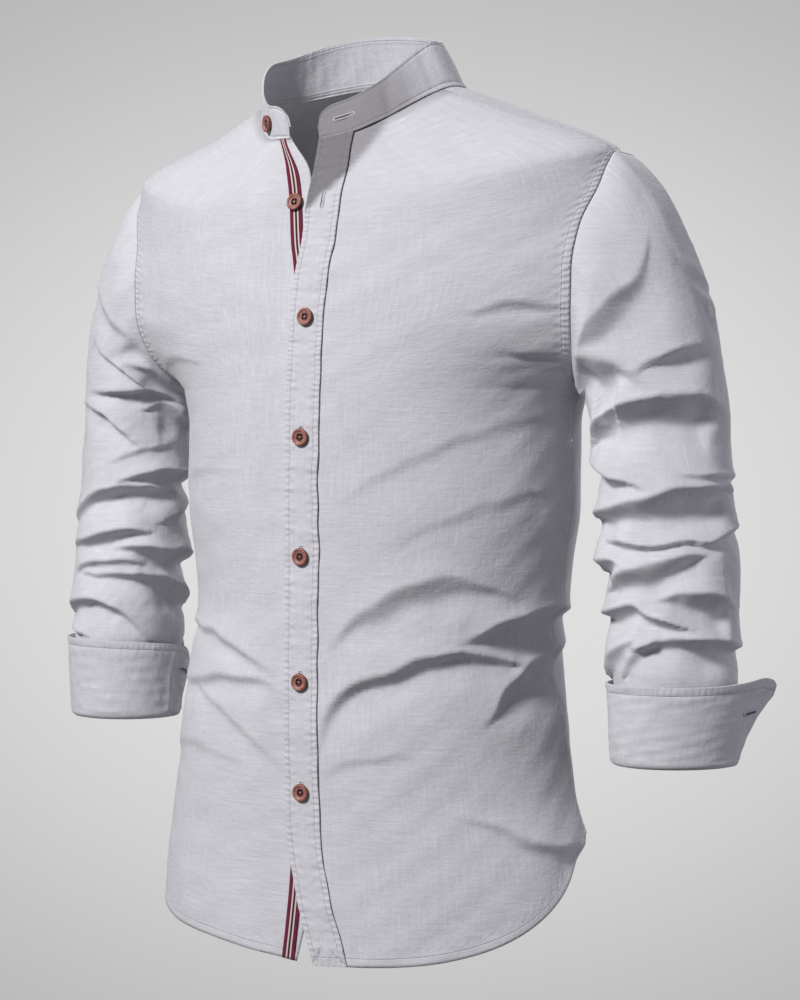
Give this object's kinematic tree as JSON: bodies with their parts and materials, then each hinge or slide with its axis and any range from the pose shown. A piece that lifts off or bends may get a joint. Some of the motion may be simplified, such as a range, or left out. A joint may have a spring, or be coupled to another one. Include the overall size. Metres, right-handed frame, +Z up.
{
  "type": "mandarin collar shirt",
  "caption": "Long-sleeved shirt with a standing band collar worn open, a buttoned placket band, turned-back cuffs and a curved shirt-tail hem.",
  "frame": {"origin": "midway between the two side neck points, where the shoulders carry the shirt", "axes": "+Z up, front facing -Y, the wearer's left is +X"},
  "size_m": [0.6626, 0.2594, 0.7694],
  "materials": {
    "linen": "pale lavender-grey slub linen and cotton, matt",
    "striped_tape": "burgundy woven tape with two thin cream stripes",
    "button": "reddish-brown wood look, satin"
  },
  "bodies": {
    "root": {"front_left": "linen", "front_right": "linen", "back": "linen", "placket_band": "linen", "placket_tape": "striped_tape", "collar": "linen", "sleeve_left": "linen", "sleeve_right": "linen", "cuff_left": "linen", "cuff_right": "linen", "button_placket_1": "button", "button_placket_2": "button", "button_placket_3": "button", "button_placket_4": "button", "button_placket_5": "button", "button_tape": "button", "button_collar": "button"}
  },
  "joints": []
}
